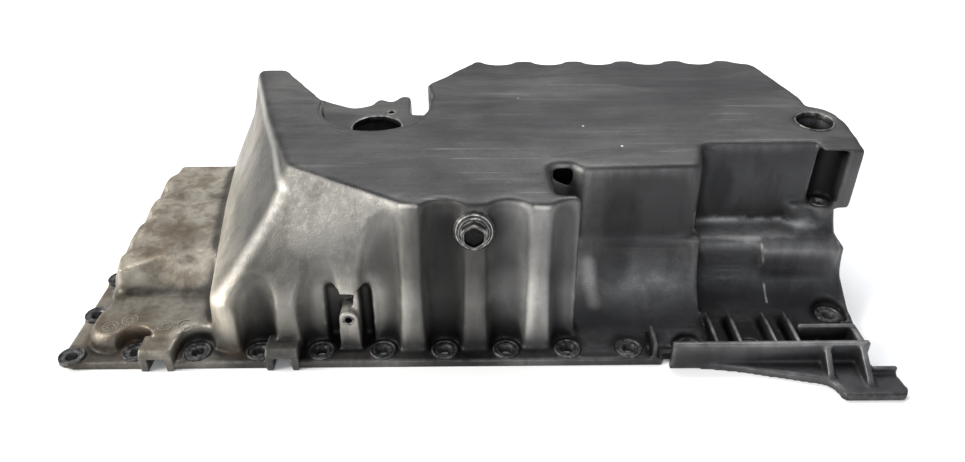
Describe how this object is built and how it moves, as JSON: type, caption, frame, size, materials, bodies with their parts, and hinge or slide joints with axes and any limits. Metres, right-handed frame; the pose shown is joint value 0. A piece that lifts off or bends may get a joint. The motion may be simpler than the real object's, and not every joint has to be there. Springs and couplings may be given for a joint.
{
  "type": "engine oil pan",
  "caption": "Cast aluminium engine oil pan with a deep sump, fluted bolt walls, a filter seat and a hexagon drain plug on a sealing washer.",
  "frame": {"origin": "middle of the rectangle of the four outermost shared flange bolts, on the gasket face", "axes": "+X along the engine towards the gearbox, +Y to the side with the filter seat, +Z from the gasket face up to the sump floor, as the pan lies upside down"},
  "size_m": [0.6078, 0.3235, 0.1364],
  "materials": {
    "cast_alloy": "rough as-cast, oil-stained",
    "plug_steel": "worn zinc plating",
    "washer_metal": "soft, satin"
  },
  "bodies": {
    "root": {"pan_casting": "cast_alloy", "drain_plug": "plug_steel", "drain_plug_washer": "washer_metal"}
  },
  "joints": []
}
